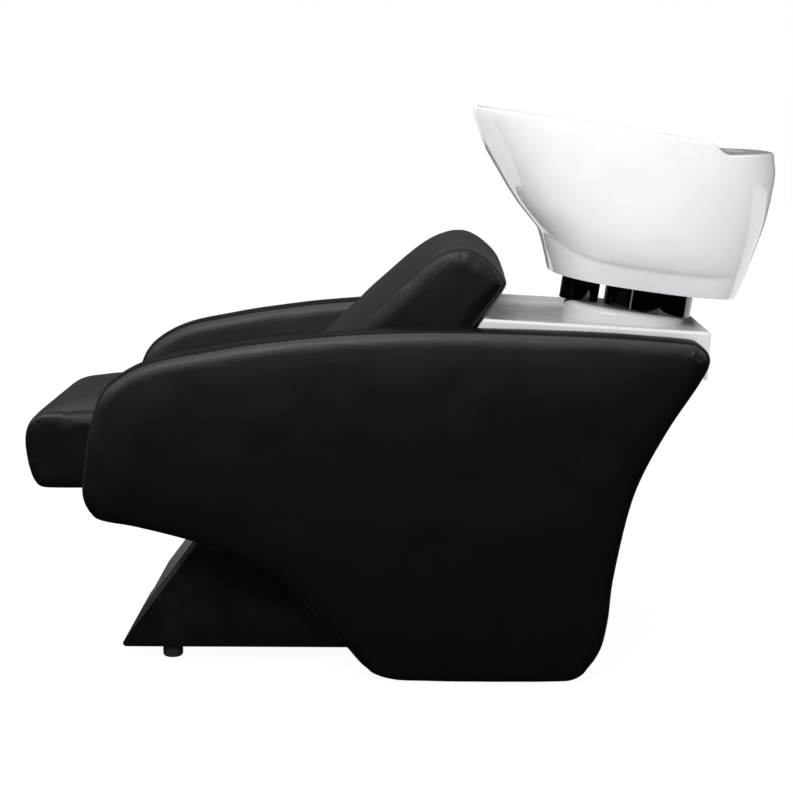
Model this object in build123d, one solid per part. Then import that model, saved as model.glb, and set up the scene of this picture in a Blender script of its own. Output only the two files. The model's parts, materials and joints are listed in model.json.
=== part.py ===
from build123d import *
import os
from math import atan2, cos, degrees, hypot, pi, radians, sin, tan

# Hair washing unit: an upholstered armchair body with a tilting ceramic basin behind the head.
# Millimetres. X runs from the sitter's feet (-X) to the basin (+X), Y to the sitter's right, Z up.
# The origin is on the floor under the middle of the whole unit.

# Overall driving sizes
seat_front_x = -661.8
basin_place_x = 444.4
body_width = 640.0
side_thickness = 88.0
overrun = 5.0

# Upholstered side panels
panel_front_x = -553.0
panel_length = 1072.0
panel_height = 613.0
panel_edge_radius = 14.0
core_thickness = 18.0
core_inset = 16.0
gusset_width = 56.0
gusset_thickness = 2.0
panel_lift = 1.5
glide_radius = 15.0
glide_height = 5.0
glide_from_front_shares = (0.586, 0.733)

# Seat and back cushions
cushion_gap = 7.0
seat_rear_x = -80.0
seat_top_z = 477.0
seat_bottom_z = 324.0
seat_slope_deg = 2.5
seat_nose_length = 117.0
seat_corner_radius = 12.0
seat_edge_radius = 20.0
seat_gap = 0.5
back_top_z = 748.0
back_corner_x = 177.0
back_corner_z = 680.0
back_face_deg = 42.4
back_rear_deg = 53.7
back_nose_length = 148.3
back_edge_radius = 10.0
board_thickness = 18.0
board_inset = 20.0
seat_board_front_x = -535.0
back_board_top_z = 572.0
back_board_bottom_z = 440.0

# Deck behind the back cushion
deck_front_x = 140.0
deck_rear_x = 529.0
deck_rear_z = 601.5
deck_slope_deg = 3.3
deck_side_gap = 1.0
deck_front_reach = 40.0
deck_cushion_gap = 1.0
deck_rim_height = 9.0
deck_rim_width = 8.0
deck_skin = 3.0
deck_skirt_height = 34.0
deck_flange_height = 83.0
deck_corner_radius = 10.0
deck_support_thickness = 5.0
deck_support_inset = 70.0

# Tilting head of the basin: its own leaning frame starts at the tilt pin
tilt_pin_z = 642.0
basin_lean_deg = 8.5
tilt_limit_deg = 8.0
pin_radius = 6.0
pin_head_radius = 10.0
pin_head_height = 6.0
running_clearance = 0.05
side_clearance = 0.3
ear_inner_y = 44.0
plate_wall = 6.0
ear_radius = 17.0
lug_radius = 15.0
lug_outer_y = 41.0
bush_radius = 8.0
washer_radius = 15.0
boss_front_x = 288.0
boss_rear_x = 508.0
boss_half_width = 105.0
boss_wall = 4.0
boss_edge_radius = 12.0
boss_top_local_z = -26.0
rear_sleeve_radius = 80.0
rear_sleeve_top_z = 12.0
front_sleeve_radius = 35.5
front_sleeve_top_z = 19.0
sleeve_wall = 2.0
boss_rear_hole_radius = 57.0
boss_front_hole_radius = 28.0
yoke_length = 92.0
yoke_width = 112.0
yoke_ear_foot = 26.0
yoke_bolt_radius = 4.0
yoke_bolt_head_radius = 7.0
yoke_bolt_head_height = 5.0
yoke_bolt_inset = 10.0
yoke_bolt_y = 30.0
yoke_nut_height = 7.0
yoke_hole_radius = 16.0
deck_waste_hole_radius = 17.0
stop_stud_radius = 5.0
stop_cap_radius = 8.0
stop_cap_height = 10.0
stop_reach = 36.0
stop_margin = 1.0

# Basin, in the leaning frame
rim_z = 293.5
basin_wall = 13.0
basin_front_reach = 368.0
basin_rear_reach = 183.0
basin_half_width = 271.0
basin_blank_height = 300.0
basin_middle_x = -60.0
basin_roundness = 2.3
crease_radius = 16.0
rim_outer_radius = 6.0
rim_inner_radius = 3.0
touching = 0.05
rim_step_x = 18.0
ledge_front_x = 72.0
ledge_front_z = 276.0
cavity_floor_z = 46.0
notch_radius = 115.0
notch_centre_above_rim = 47.0
notch_depth_x = 130.0
basin_slab_z = 32.0
basin_slab_thickness = 14.0
slab_front_x = -88.0
tap_hole_radius = 17.5
spray_hole_radius = 14.0
spray_hole_y = 80.0
tap_line_x = 112.0
hose_hole_radius = 14.0
hose_hole_x = 10.0
carrier_z = 26.0
carrier_thickness = 4.0
carrier_front_x = -84.0
carrier_rear_x = 112.0
carrier_half_width = 80.0
carrier_bolt_radius = 4.0
carrier_bolt_depth = 8.0
carrier_bolt_inset = 14.0

# Waste fitting and strainer
waste_x = -126.3
waste_flange_radius = 33.0
waste_flange_height = 3.0
waste_body_radius = 23.0
waste_bore_radius = 14.0
waste_nut_radius = 26.0
waste_nut_height = 8.0
waste_seal_thickness = 2.0
tail_radius = 16.0
tail_end_z = -20.0
strainer_radius = 13.0
strainer_depth = 8.0
strainer_rim_radius = 22.0
strainer_rim_height = 2.0
strainer_hole_radius = 1.6
strainer_knob_radius = 4.0
strainer_knob_height = 10.0

# Base frame and plinth
plinth_inset = 57.0
plinth_board = 12.0
plinth_toe_x = -513.0
plinth_bottom_z = 24.0
plinth_top_z = 306.0
plinth_slope_deg = 53.0
plinth_rear_x = 250.0
plinth_toe_radius = 6.0
kick_thickness = 8.5
kick_bottom_z = 97.0
kick_top_z = 262.0
floor_pan_thickness = 3.0
tube_size = 30.0
tube_wall = 2.0
foot_x = -420.0
foot_radius = 18.0
foot_height = 22.0
foot_round = 6.0
foot_travel = 12.0
stem_radius = 5.0
stem_length = 30.0
foot_nut_radius = 9.0
foot_nut_height = 8.0
bolt_radius = 5.0
bolt_head_radius = 9.0
bolt_head_height = 5.0

# Rear closing panel
rear_panel_thickness = 6.0
rear_panel_inset = 12.0
rear_panel_gap = 3.0
batten_size = 24.0
batten_gap = 0.5
floor_bracket_x = 235.0
floor_bracket_length = 40.0
floor_bracket_leg = 34.0
floor_bracket_wall = 4.0
floor_bolt_radius = 5.5

os.makedirs("parts", exist_ok=True)

half_body = body_width / 2
inner_face_y = half_body - side_thickness
panel_middle_y = half_body - side_thickness / 2
cushion_half = inner_face_y - cushion_gap
board_half_width = cushion_half - board_inset
deck_half_width = inner_face_y - deck_side_gap
plinth_half_width = inner_face_y - plinth_inset
plinth_inner_y = plinth_half_width - plinth_board
half_tube = tube_size / 2
frame_y = plinth_inner_y - half_tube


def save(name, shape):
    """Writes one sub-part under its own name."""
    export_step(shape, "parts/" + name + ".step")


def both_sides(shape):
    """The shape and its mirror image across the middle plane."""
    return shape + mirror(shape, about=Plane.XZ)


def side_face(curves, y):
    """A face in a plane of constant Y from curves drawn at Y = 0."""
    return Pos(0, y, 0) * make_face(curves)


def side_slab(curves, y_low, y_high):
    """A solid between two planes of constant Y, from a closed outline drawn at Y = 0."""
    return extrude(side_face(curves, y_low), amount=y_high - y_low, dir=(0, 1, 0))


def side_polygon(points, y_low, y_high):
    """The same, from the corners of a polygon as (x, z)."""
    corners = [(x, 0, z) for x, z in points]
    return side_slab(Polyline(*corners, close=True), y_low, y_high)


def cross_rod(x, z, radius, y_low, y_high):
    """A round rod along Y."""
    return extrude(Pos(x, y_low, z) * (Plane.XZ * Circle(radius)), amount=y_high - y_low, dir=(0, 1, 0))


def upright_rod(x, y, radius, z_low, z_high):
    """A round rod along Z."""
    return extrude(Pos(x, y, z_low) * Circle(radius), amount=z_high - z_low)


def block(x_low, x_high, y_low, y_high, z_low, z_high):
    """A box between two corners."""
    box = Box(x_high - x_low, y_high - y_low, z_high - z_low)
    return Pos((x_low + x_high) / 2, (y_low + y_high) / 2, (z_low + z_high) / 2) * box


def tube_run(start, end, y):
    """A square hollow tube whose middle line joins two points (x, z) at one Y."""
    run_x = end[0] - start[0]
    run_z = end[1] - start[1]
    length = hypot(run_x, run_z)
    bore = tube_size - 2 * tube_wall
    tube = Box(length, tube_size, tube_size) - Box(length + overrun, bore, bore)
    middle = Pos((start[0] + end[0]) / 2, y, (start[1] + end[1]) / 2)
    return middle * Rot(0, -degrees(atan2(run_z, run_x)), 0) * tube


def oval(front, rear, half, height, middle, power):
    """A smooth closed egg outline at one height, widest at the middle."""
    count = 20
    points = []
    for step in range(count):
        turn = 2 * pi * step / count
        along = cos(turn)
        across = sin(turn)
        reach = rear - middle if along > 0 else front - middle
        x = middle + reach * abs(along) ** (2 / power)
        y = half * (1 if across > 0 else -1) * abs(across) ** (2 / power)
        points.append((x, y, height))
    return make_face(Spline(*points, periodic=True))


# Frames of reference that lean with the deck and with the basin
deck_run = Pos(deck_rear_x, 0, deck_rear_z) * Rot(0, deck_slope_deg, 0)
tilt_run = Pos(basin_place_x, 0, tilt_pin_z) * Rot(0, basin_lean_deg, 0)


def deck_top_at(x):
    """Height of the deck's rim above the floor at one X."""
    return deck_rear_z + (deck_rear_x - x) * tan(radians(deck_slope_deg))


# Side panels. The outline runs from the heel up the rear edge, over the arm and back along the underside.
# Each pair is a share of the panel's length from its front and a share of its height.
panel_shares = (
    (0.749, 0.005), (0.796, 0.016), (0.830, 0.081), (0.844, 0.173), (0.8535, 0.3116),
    (0.884, 0.540), (0.9347, 0.7204), (0.9846, 0.8548), (0.9991, 0.9168), (0.982, 0.9576),
    (0.954, 0.9706), (0.8237, 0.9869), (0.6978, 0.9951), (0.541, 1.0), (0.400, 0.9886),
    (0.2733, 0.9641), (0.1894, 0.9395), (0.1157, 0.9127), (0.0662, 0.8728), (0.0336, 0.8173),
    (0.0149, 0.7210), (0.0075, 0.6509), (0.0004, 0.538), (0.0150, 0.478), (0.0364, 0.4568),
    (0.0877, 0.4413), (0.180, 0.3997), (0.2537, 0.3442), (0.334, 0.2643), (0.3759, 0.1843),
    (0.4216, 0.1011), (0.4552, 0.0375), (0.4944, 0.010), (0.5532, 0.005), (0.651, 0.004),
)


def panel_point(index, inset):
    """One point of the panel's outline, moved inwards square to its neighbours."""
    before = panel_shares[index - 1]
    after = panel_shares[(index + 1) % len(panel_shares)]
    along, up = panel_shares[index]
    run_x = (after[0] - before[0]) * panel_length
    run_z = (after[1] - before[1]) * panel_height
    size = hypot(run_x, run_z)
    x = panel_front_x + along * panel_length - inset * run_z / size
    z = up * panel_height + inset * run_x / size
    return x, z


def panel_outline(inset):
    """The panel's closed smooth outline at Y = 0, in four stretches."""
    points = [panel_point(index, inset) for index in range(len(panel_shares))]
    loop = Spline(*[(x, 0, z) for x, z in points], periodic=True)
    return [loop.trim(start / 4, (start + 1) / 4) for start in range(4)]


def make_panel():
    """One upholstered side on the -Y side: core, outer pad, inner pad and gusset strip."""
    middle = -panel_middle_y
    half_gusset = gusset_width / 2
    core = side_slab(panel_outline(core_inset), middle - core_thickness / 2, middle + core_thickness / 2)
    gusset = side_slab(panel_outline(0), middle - half_gusset, middle + half_gusset)
    gusset -= side_slab(panel_outline(gusset_thickness), middle - half_gusset, middle + half_gusset)
    pads = []
    for face_y, band_y in ((-half_body, middle - half_gusset), (-inner_face_y, middle + half_gusset)):
        face = side_slab(panel_outline(0), min(face_y, band_y), max(face_y, band_y))
        edges = face.edges().filter_by_position(Axis.Y, face_y, face_y)
        face = fillet(edges, panel_edge_radius)
        root = side_slab(panel_outline(gusset_thickness), min(band_y, middle), max(band_y, middle))
        pads.append(face + root - core)
    return core, pads[0], pads[1], gusset


core, outer_pad, inner_pad, gusset = make_panel()

# Nylon glides let into the heel of each panel
glides = []
for share in glide_from_front_shares:
    glide_x = panel_front_x + share * panel_length
    glides.append(upright_rod(glide_x, -panel_middle_y, glide_radius, 0, glide_height))
glide_pair = glides[0] + glides[1]
outer_pad -= glide_pair
inner_pad -= glide_pair
gusset -= glide_pair
panel_glides = both_sides(glide_pair)

# Base frame: one welded side frame of square tube on each side, and ties between them
frame_outer_y = frame_y + half_tube
bracket_x_shares = (0.12, 0.36, 0.60, 0.735, 0.735)
bracket_z_shares = (0.475, 0.475, 0.475, 0.12, 0.84)
upright_x = panel_front_x + bracket_x_shares[-1] * panel_length
base_rail_z = plinth_bottom_z + floor_pan_thickness + half_tube
seat_rail_z = plinth_top_z - half_tube
seat_rail_front_x = seat_board_front_x + seat_gap
deck_rail_drop = deck_rim_height + deck_skin + deck_support_thickness + half_tube
deck_rail_front_x = deck_front_x + tube_size
deck_rail_rear_x = deck_rear_x - deck_support_inset


def plinth_front_at(z, depth=0.0):
    """X of a plane parallel to the plinth's sloping front, at one height and depth."""
    lean = radians(plinth_slope_deg)
    return plinth_toe_x + (z - plinth_bottom_z) / tan(lean) + depth / sin(lean)


def back_rear_point(height, depth):
    """A point behind the back cushion: a height on its rear face, and a depth square to that face."""
    lean = radians(back_rear_deg)
    face_x = back_corner_x - (back_corner_z - height) / tan(lean)
    return face_x + depth * sin(lean), height - depth * cos(lean)


def deck_rail_at(x):
    """A point on the middle line of the rails under the deck."""
    return x, deck_top_at(x) - deck_rail_drop / cos(radians(deck_slope_deg))


front_post_depth = plinth_board + half_tube
stay_depth = board_thickness + half_tube
frame_lines = (
    ((plinth_front_at(base_rail_z, front_post_depth), base_rail_z), (upright_x + half_tube, base_rail_z)),
    ((plinth_front_at(base_rail_z, front_post_depth), base_rail_z),
     (plinth_front_at(seat_rail_z, front_post_depth), seat_rail_z)),
    ((seat_rail_front_x, seat_rail_z), (upright_x + half_tube, seat_rail_z)),
    ((upright_x, base_rail_z), deck_rail_at(upright_x)),
    (deck_rail_at(deck_rail_front_x), deck_rail_at(deck_rail_rear_x)),
    (back_rear_point(seat_rail_z, stay_depth), back_rear_point(back_board_top_z, stay_depth)),
)
frame_tubes = [tube_run(start, end, -frame_y) for start, end in frame_lines]
left_frame = frame_tubes[0]
for tube in frame_tubes[1:]:
    left_frame += tube

tie_half = frame_y - half_tube
tie_places = (
    (foot_x + 2 * tube_size, base_rail_z),
    (seat_rail_front_x + half_tube, seat_rail_z),
    (upright_x, seat_rail_z),
)
deck_tie_places = (deck_rail_at(deck_rail_front_x + half_tube), deck_rail_at(deck_rail_rear_x - half_tube))
tie_bore = tube_size - 2 * tube_wall
tie_bar = Box(tube_size, 2 * tie_half, tube_size) - Box(tie_bore, 2 * tie_half + overrun, tie_bore)
cross_ties = Pos(tie_places[0][0], 0, tie_places[0][1]) * tie_bar
for x, z in tie_places[1:]:
    cross_ties += Pos(x, 0, z) * tie_bar
for x, z in deck_tie_places:
    cross_ties += Pos(x, 0, z) * Rot(0, deck_slope_deg, 0) * tie_bar

# Brackets and bolts that carry the side panels
brackets = []
bolts = []
for along, up in zip(bracket_x_shares, bracket_z_shares):
    x = panel_front_x + along * panel_length
    z = up * panel_height if up != bracket_z_shares[0] else seat_rail_z
    bracket = block(x - half_tube, x + half_tube, -inner_face_y, -frame_outer_y, z - half_tube, z + half_tube)
    head_y = -frame_outer_y - bolt_head_height
    bolt = cross_rod(x, z, bolt_radius, -panel_middle_y, head_y)
    bolt += cross_rod(x, z, bolt_head_radius, head_y, -frame_outer_y)
    brackets.append(bracket - bolt)
    bolts.append(bolt)
bracket_group = brackets[0]
bolt_group = bolts[0]
for bracket, bolt in zip(brackets[1:], bolts[1:]):
    bracket_group += bracket
    bolt_group += bolt
inner_pad -= bolt_group
core -= bolt_group

# Plinth boards, kick plate and floor pan
plinth_corners = [
    (plinth_front_at(plinth_bottom_z), plinth_bottom_z),
    (plinth_front_at(plinth_top_z), plinth_top_z),
    (plinth_rear_x, plinth_top_z),
    (plinth_rear_x, plinth_bottom_z),
]
side_board = side_polygon(plinth_corners, -plinth_half_width, -plinth_inner_y)
toe_edge = side_board.edges().filter_by(Axis.Y).sort_by(Axis.X)[0]
side_board = fillet(toe_edge, plinth_toe_radius)
side_board -= bracket_group + bolt_group
pan_top_z = plinth_bottom_z + floor_pan_thickness
front_corners = [
    (plinth_front_at(plinth_bottom_z), plinth_bottom_z),
    (plinth_front_at(plinth_top_z), plinth_top_z),
    (plinth_front_at(plinth_top_z, plinth_board), plinth_top_z),
    (plinth_front_at(plinth_bottom_z, plinth_board), plinth_bottom_z),
]
front_board = side_polygon(front_corners, -plinth_inner_y, plinth_inner_y)
front_board = fillet(front_board.edges().filter_by(Axis.Y).sort_by(Axis.X)[0], plinth_toe_radius)
rail_notch = block(
    seat_rail_front_x, plinth_rear_x, -plinth_inner_y, tube_size + side_clearance - frame_outer_y,
    plinth_top_z - tube_size - side_clearance, plinth_top_z,
)
front_board -= both_sides(rail_notch)
kick_corners = [
    (plinth_front_at(kick_bottom_z), kick_bottom_z),
    (plinth_front_at(kick_top_z), kick_top_z),
    (plinth_front_at(kick_top_z, -kick_thickness), kick_top_z),
    (plinth_front_at(kick_bottom_z, -kick_thickness), kick_bottom_z),
]
kick_plate = side_polygon(kick_corners, -plinth_half_width, plinth_half_width)
pan_front_x = plinth_front_at(pan_top_z, plinth_board)
floor_pan = block(pan_front_x, plinth_rear_x, -plinth_inner_y, plinth_inner_y, plinth_bottom_z, pan_top_z)

# Levelling feet under the front of the plinth
foot_y = -frame_y
foot_pad = upright_rod(foot_x, foot_y, foot_radius, 0, foot_height)
foot_pad = fillet(foot_pad.edges().sort_by(Axis.Z)[0], foot_round)
foot_stem = upright_rod(foot_x, foot_y, stem_radius, foot_height, foot_height + stem_length)
stem_passage = upright_rod(foot_x, foot_y, stem_radius + side_clearance, 0, foot_height + stem_length + overrun)
nut_bottom_z = pan_top_z + tube_wall
foot_nut = upright_rod(foot_x, foot_y, foot_nut_radius, nut_bottom_z, nut_bottom_z + foot_nut_height)
foot_nut -= upright_rod(foot_x, foot_y, stem_radius + running_clearance, 0, foot_height + stem_length)
floor_pan -= both_sides(stem_passage)
left_frame -= stem_passage

# Seat cushion: a rounded nose, then a top that falls gently towards the back
seat_height = seat_top_z - seat_bottom_z
seat_nose_shares = (
    (0.225, 0.0), (0.122, 0.092), (0.041, 0.281), (0.0, 0.559),
    (0.058, 0.745), (0.258, 0.889), (0.528, 0.964), (1.0, 1.0),
)
seat_nose = [
    (seat_front_x + along * seat_nose_length, 0, seat_bottom_z + up * seat_height)
    for along, up in seat_nose_shares
]
seat_fall = tan(radians(seat_slope_deg))


def seat_top_at(x):
    """Height of the seat cushion's top at one X behind its nose."""
    return seat_top_z - (x - seat_front_x - seat_nose_length) * seat_fall


for x in (seat_front_x + 1.5 * seat_nose_length, seat_front_x + 2.5 * seat_nose_length, seat_rear_x):
    seat_nose.append((x, 0, seat_top_at(x)))
seat_curve = Spline(*seat_nose)
seat_corners = [seat_nose[-1], (seat_rear_x, 0, seat_bottom_z), seat_nose[0]]
seat_outline = [seat_curve, Polyline(*seat_corners)]
seat_cushion = side_slab(seat_outline, -cushion_half, cushion_half)
seat_cushion = fillet(seat_cushion.edges().filter_by(Axis.Y), seat_corner_radius)
seat_sides = seat_cushion.edges().filter_by_position(Axis.Y, -cushion_half, -cushion_half)
seat_sides += seat_cushion.edges().filter_by_position(Axis.Y, cushion_half, cushion_half)
seat_cushion = fillet(seat_sides, seat_edge_radius)
seat_board = block(
    seat_board_front_x, seat_rear_x, -board_half_width, board_half_width, plinth_top_z, seat_bottom_z)

# Back cushion: a straight lying face, a round head end and a corner that overhangs the deck
back_nose_shares = (
    (0.0, 0.566), (0.1666, 0.816), (0.332, 0.963), (0.457, 1.0), (0.582, 0.965),
    (0.728, 0.794), (0.852, 0.544), (0.958, 0.274), (1.0, 0.059),
)
back_nose_height = back_top_z - back_corner_z
back_nose = [
    (back_corner_x - back_nose_length + along * back_nose_length, 0, back_corner_z + up * back_nose_height)
    for along, up in back_nose_shares
]
face_slope = tan(radians(back_face_deg))
nose_x, nose_z = back_nose[0][0], back_nose[0][2]
seat_meet_x = (seat_top_at(0) + seat_gap - nose_z + nose_x * face_slope) / (face_slope + seat_fall)
back_foot_x = back_rear_point(seat_top_at(0), 0)[0]
back_corners = [
    back_nose[-1],
    (back_corner_x, 0, back_corner_z),
    (back_foot_x, 0, seat_top_at(back_foot_x) + seat_gap),
    (seat_meet_x, 0, seat_top_at(seat_meet_x) + seat_gap),
    back_nose[0],
]
back_curve = Spline(*back_nose)
back_cushion = side_slab([back_curve, Polyline(*back_corners)], -cushion_half, cushion_half)
back_sides = back_cushion.edges().filter_by_position(Axis.Y, -cushion_half, -cushion_half)
back_sides += back_cushion.edges().filter_by_position(Axis.Y, cushion_half, cushion_half)
back_rounded = [
    edge for edge in back_sides
    if edge.center().Z > (back_corner_z + back_top_z) / 2 or edge.center().X < seat_rear_x
]
back_rounded = [edge for edge in back_rounded if edge.center().Z > seat_top_z]
back_cushion = fillet(back_rounded, back_edge_radius)
board_corners = [
    back_rear_point(back_board_top_z, 0),
    back_rear_point(back_board_top_z, board_thickness),
    back_rear_point(back_board_bottom_z + board_thickness, board_thickness),
    back_rear_point(back_board_bottom_z + board_thickness, 0),
]
back_board = side_polygon(board_corners, -board_half_width, board_half_width)

# Deck: a shallow white tray with a rim, side skirts and a rear flange, drawn in its own leaning frame
deck_length = (deck_rear_x - deck_front_x) / cos(radians(deck_slope_deg))
deck_floor_z = -deck_rim_height
deck_under_z = deck_floor_z - deck_skin
deck_far_x = -deck_length - deck_front_reach
deck = block(deck_far_x, 0, -deck_half_width, deck_half_width, -deck_flange_height, 0)
deck = fillet(deck.edges().filter_by(Axis.Z).group_by(Axis.X)[-1], deck_corner_radius)
deck = fillet(deck.faces().sort_by(Axis.Z)[-1].edges().group_by(Axis.X)[-1], deck_rim_height - deck_skin)
tray_half = deck_half_width - deck_rim_width
deck -= block(deck_rim_width - deck_length, -deck_rim_width, -tray_half, tray_half, deck_floor_z, overrun)
skin_half = deck_half_width - deck_skin
low_z = -deck_flange_height - overrun
far_cut_x = deck_far_x - overrun
deck -= block(far_cut_x, -deck_skin, -skin_half, skin_half, low_z, deck_under_z)
deck -= block(far_cut_x, -deck_rim_width, -half_body, half_body, low_z, -deck_skirt_height)
deck_support = block(
    deck_rail_front_x - tube_size - deck_rear_x, deck_rail_rear_x - deck_rear_x,
    -frame_outer_y, frame_outer_y, deck_under_z - deck_support_thickness, deck_under_z,
)
cushion_side = side_polygon([
    back_rear_point(back_top_z, deck_cushion_gap),
    back_rear_point(back_top_z, -body_width),
    back_rear_point(seat_bottom_z, -body_width),
    back_rear_point(seat_bottom_z, deck_cushion_gap),
], -half_body, half_body)
deck = deck_run * deck - cushion_side
deck_support = deck_run * deck_support

# White boss on the deck, cut off square to the leaning sleeves that stand on it
boss_middle = (boss_front_x + boss_rear_x) / 2 - deck_rear_x


def boss_solid(inset, top_z):
    """The boss's oval from the deck floor up to a plane of the leaning frame."""
    front = boss_front_x - deck_rear_x + inset
    rear = boss_rear_x - deck_rear_x - inset
    base = oval(front, rear, boss_half_width - inset, deck_floor_z, boss_middle, basin_roundness)
    solid = deck_run * extrude(base, amount=tilt_pin_z - deck_rear_z + deck_skirt_height)
    cut_size = 2 * body_width
    cutter = Pos(0, 0, top_z + cut_size / 2) * Box(cut_size, cut_size, cut_size)
    return solid - tilt_run * cutter


boss = boss_solid(0, boss_top_local_z)
top_edge = boss.edges().sort_by(lambda edge: (tilt_run.inverse() * edge).center().Z)[-1]
boss = fillet(top_edge, boss_edge_radius)
boss -= boss_solid(boss_wall, boss_top_local_z - boss_wall)


def leaning_rod(x, y, radius, z_low, z_high):
    """A round rod along the leaning frame's own height."""
    return tilt_run * upright_rod(x, y, radius, z_low, z_high)


through_low = boss_top_local_z - deck_flange_height
through_high = boss_top_local_z - boss_wall - overrun
waste_passage = leaning_rod(waste_x, 0, deck_waste_hole_radius, through_low, through_high)
boss -= leaning_rod(0, 0, boss_rear_hole_radius, boss_top_local_z - 2 * boss_wall, 0)
boss -= leaning_rod(waste_x, 0, boss_front_hole_radius, boss_top_local_z - 2 * boss_wall, 0)
deck -= waste_passage
deck_support -= waste_passage


def sleeve(x, radius, top_z):
    """A thin round tube that stands on the boss."""
    return leaning_rod(x, 0, radius, boss_top_local_z, top_z) - leaning_rod(
        x, 0, radius - sleeve_wall, boss_top_local_z - overrun, top_z + overrun)


rear_sleeve = sleeve(0, rear_sleeve_radius, rear_sleeve_top_z)
front_sleeve = sleeve(waste_x, front_sleeve_radius, front_sleeve_top_z)

# Yoke on the deck: a foot plate in the deck's frame and two ears up to the tilt pin
pin_place = (deck_run.inverse() * Pos(basin_place_x, 0, tilt_pin_z)).position
pin_deck_x = pin_place.X
pin_deck_z = pin_place.Z
yoke_foot_top = deck_floor_z + plate_wall
half_foot = yoke_length / 2
yoke = Pos(pin_deck_x, 0, deck_floor_z + plate_wall / 2) * Box(yoke_length, yoke_width, plate_wall)
ear_outer_y = ear_inner_y + plate_wall
ear_corners = [
    (pin_deck_x - yoke_ear_foot, yoke_foot_top),
    (pin_deck_x - ear_radius, pin_deck_z),
    (pin_deck_x + ear_radius, pin_deck_z),
    (pin_deck_x + yoke_ear_foot, yoke_foot_top),
]
ear = side_polygon(ear_corners, -ear_outer_y, -ear_inner_y)
ear += cross_rod(pin_deck_x, pin_deck_z, ear_radius, -ear_outer_y, -ear_inner_y)
ear -= cross_rod(pin_deck_x, pin_deck_z, pin_radius, -ear_outer_y - overrun, 0)
yoke += both_sides(ear)
yoke_hole = upright_rod(pin_deck_x, 0, yoke_hole_radius, low_z, pin_deck_z)
yoke_bolts = None
for side_x in (yoke_bolt_inset - half_foot, half_foot - yoke_bolt_inset):
    x = pin_deck_x + side_x
    nut_z = deck_under_z - deck_support_thickness
    bolt = upright_rod(x, yoke_bolt_y, yoke_bolt_radius, nut_z - yoke_nut_height, yoke_foot_top)
    head_top = yoke_foot_top + yoke_bolt_head_height
    bolt += upright_rod(x, yoke_bolt_y, yoke_bolt_head_radius, yoke_foot_top, head_top)
    bolt += upright_rod(x, yoke_bolt_y, yoke_bolt_head_radius, nut_z - yoke_nut_height, nut_z)
    yoke_bolts = bolt if yoke_bolts is None else yoke_bolts + bolt
yoke_bolts = deck_run * both_sides(yoke_bolts)
yoke = deck_run * (yoke - yoke_hole) - yoke_bolts
deck -= deck_run * yoke_hole + yoke_bolts
deck_support -= deck_run * yoke_hole + yoke_bolts

# Tilt pins, washers and stops
pin_x, pin_z = basin_place_x, tilt_pin_z
lug_inner_y = lug_outer_y - plate_wall
nut_outer_y = lug_inner_y - side_clearance
nut_inner_y = nut_outer_y - pin_head_height
pivot_bolt = cross_rod(pin_x, pin_z, pin_radius, -ear_outer_y, -nut_inner_y)
pivot_bolt += cross_rod(pin_x, pin_z, pin_head_radius, -ear_outer_y - pin_head_height, -ear_outer_y)
pivot_nut = cross_rod(pin_x, pin_z, pin_head_radius, -nut_outer_y, -nut_inner_y) - pivot_bolt
friction_washer = cross_rod(pin_x, pin_z, washer_radius, -ear_inner_y, -lug_outer_y - side_clearance)
friction_washer -= pivot_bolt
limit = radians(tilt_limit_deg)
stop_top_z = carrier_z * cos(limit) - (stop_reach + stop_cap_radius) * sin(limit) - stop_margin
stop_low_z = stop_top_z - stop_cap_height
below_foot = deck_run * block(-deck_length, 0, -half_body, half_body, low_z, yoke_foot_top)
stop_studs = leaning_rod(-stop_reach, 0, stop_stud_radius, through_low, stop_low_z) - below_foot
stop_studs += leaning_rod(stop_reach, 0, stop_stud_radius, through_low, stop_low_z) - below_foot
stop_caps = leaning_rod(-stop_reach, 0, stop_cap_radius, stop_low_z, stop_top_z)
stop_caps += leaning_rod(stop_reach, 0, stop_cap_radius, stop_low_z, stop_top_z)

# Basin, drawn in the leaning frame as shares of its reach, width and height
bowl_shares = (
    (0.153, 0.408, 0.803, 0.554), (0.200, 0.495, 0.847, 0.756), (0.253, 0.560, 0.892, 0.838),
    (0.325, 0.614, 0.920, 0.889), (0.410, 0.690, 0.943, 0.930), (0.495, 0.757, 0.969, 0.956),
    (0.637, 0.853, 0.9945, 0.9815), (0.775, 0.943, 1.000, 0.996), (0.880, 1.010, 0.984, 1.000),
    (1.000, 1.052, 0.956, 0.993),
)
skirt_shares = (
    (0.0733, 0.519, 0.834, 0.689), (0.200, 0.560, 0.886, 0.756), (0.333, 0.609, 0.917, 0.819),
)
hollow_shares = (
    (0.193, 0.449, -0.109, 0.332), (0.220, 0.480, 0.000, 0.5535), (0.267, 0.522, 0.087, 0.738),
    (0.333, 0.587, 0.137, 0.834), (0.410, 0.655, 0.164, 0.882), (0.495, 0.720, 0.191, 0.908),
    (0.637, 0.8175, 0.224, 0.9336), (0.775, 0.9046, 0.246, 0.948), (0.880, 0.972, 0.257, 0.952),
    (1.0167, 1.017, 0.273, 0.9446),
)


def basin_form(rows, grow, drop):
    """A smooth solid through the egg outlines of one table, grown outwards and dropped."""
    outlines = []
    for up, front, rear, half in rows:
        outlines.append(oval(
            -front * basin_front_reach - grow,
            rear * basin_rear_reach + grow,
            half * basin_half_width + grow,
            up * basin_blank_height - drop,
            basin_middle_x,
            basin_roundness,
        ))
    return loft(outlines)


def slab_between(x_low, x_high, z_low, z_high):
    """A wide box of the leaning frame, to keep one stretch of a form."""
    return block(x_low, x_high, -body_width, body_width, z_low, z_high)


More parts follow.
